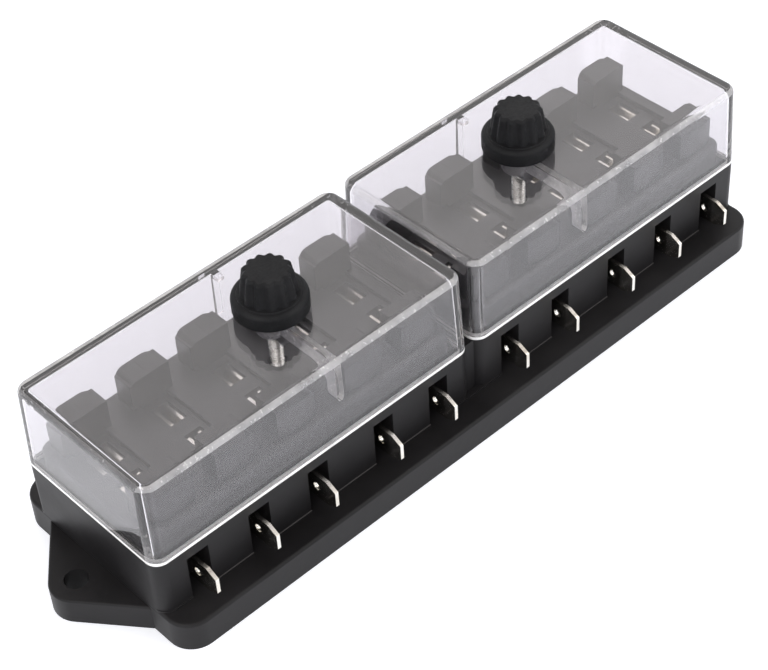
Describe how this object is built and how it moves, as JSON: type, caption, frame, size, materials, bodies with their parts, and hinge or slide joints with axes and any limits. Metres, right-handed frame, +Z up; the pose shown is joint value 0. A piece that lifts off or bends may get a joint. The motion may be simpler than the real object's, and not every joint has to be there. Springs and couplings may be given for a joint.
{
  "type": "fuse block",
  "caption": "Panel-mount blade fuse block with side tab terminals and two clear lift-off covers, each held by a fluted thumbscrew",
  "frame": {"origin": "middle of the footprint, on the mounting surface", "axes": "X along the row of ways, Y from the front terminals to the rear ones, Z up out of the mounting surface"},
  "size_m": [0.1884, 0.0534, 0.0512],
  "materials": {
    "base_plastic": "satin black moulded plastic",
    "clear_cover": "polished clear plastic",
    "knob_plastic": "fine-textured black moulded plastic",
    "stud_steel": "bright plated steel with a fine thread",
    "insert_brass": "turned brass",
    "terminal_brass": "tinned brass sheet"
  },
  "bodies": {
    "block": {"base": "base_plastic", "insert_left": "insert_brass", "insert_right": "insert_brass", "terminal_front_1": "terminal_brass", "terminal_front_2": "terminal_brass", "terminal_front_3": "terminal_brass", "terminal_front_4": "terminal_brass", "terminal_front_5": "terminal_brass", "terminal_front_6": "terminal_brass", "terminal_front_7": "terminal_brass", "terminal_front_8": "terminal_brass", "terminal_front_9": "terminal_brass", "terminal_front_10": "terminal_brass", "terminal_rear_1": "terminal_brass", "terminal_rear_2": "terminal_brass", "terminal_rear_3": "terminal_brass", "terminal_rear_4": "terminal_brass", "terminal_rear_5": "terminal_brass", "terminal_rear_6": "terminal_brass", "terminal_rear_7": "terminal_brass", "terminal_rear_8": "terminal_brass", "terminal_rear_9": "terminal_brass", "terminal_rear_10": "terminal_brass"},
    "left_cover": {"cover_left": "clear_cover"},
    "right_cover": {"cover_right": "clear_cover"},
    "left_thumbscrew": {"knob_left": "knob_plastic", "stud_left": "stud_steel"},
    "right_thumbscrew": {"knob_right": "knob_plastic", "stud_right": "stud_steel"}
  },
  "joints": [
    {"name": "left_cover_lift", "type": "slide", "parent": "block", "child": "left_cover", "axis": [0, 0, 1], "range_m": [0, 0.04]},
    {"name": "left_thumbscrew_turn", "type": "hinge", "parent": "left_cover", "child": "left_thumbscrew", "pos_m": [-0.03435, 0, 0.0414], "axis": [0, 0, 1], "continuous": true},
    {"name": "right_cover_lift", "type": "slide", "parent": "block", "child": "right_cover", "axis": [0, 0, 1], "range_m": [0, 0.04]},
    {"name": "right_thumbscrew_turn", "type": "hinge", "parent": "right_cover", "child": "right_thumbscrew", "pos_m": [0.03435, 0, 0.0414], "axis": [0, 0, 1], "continuous": true}
  ]
}
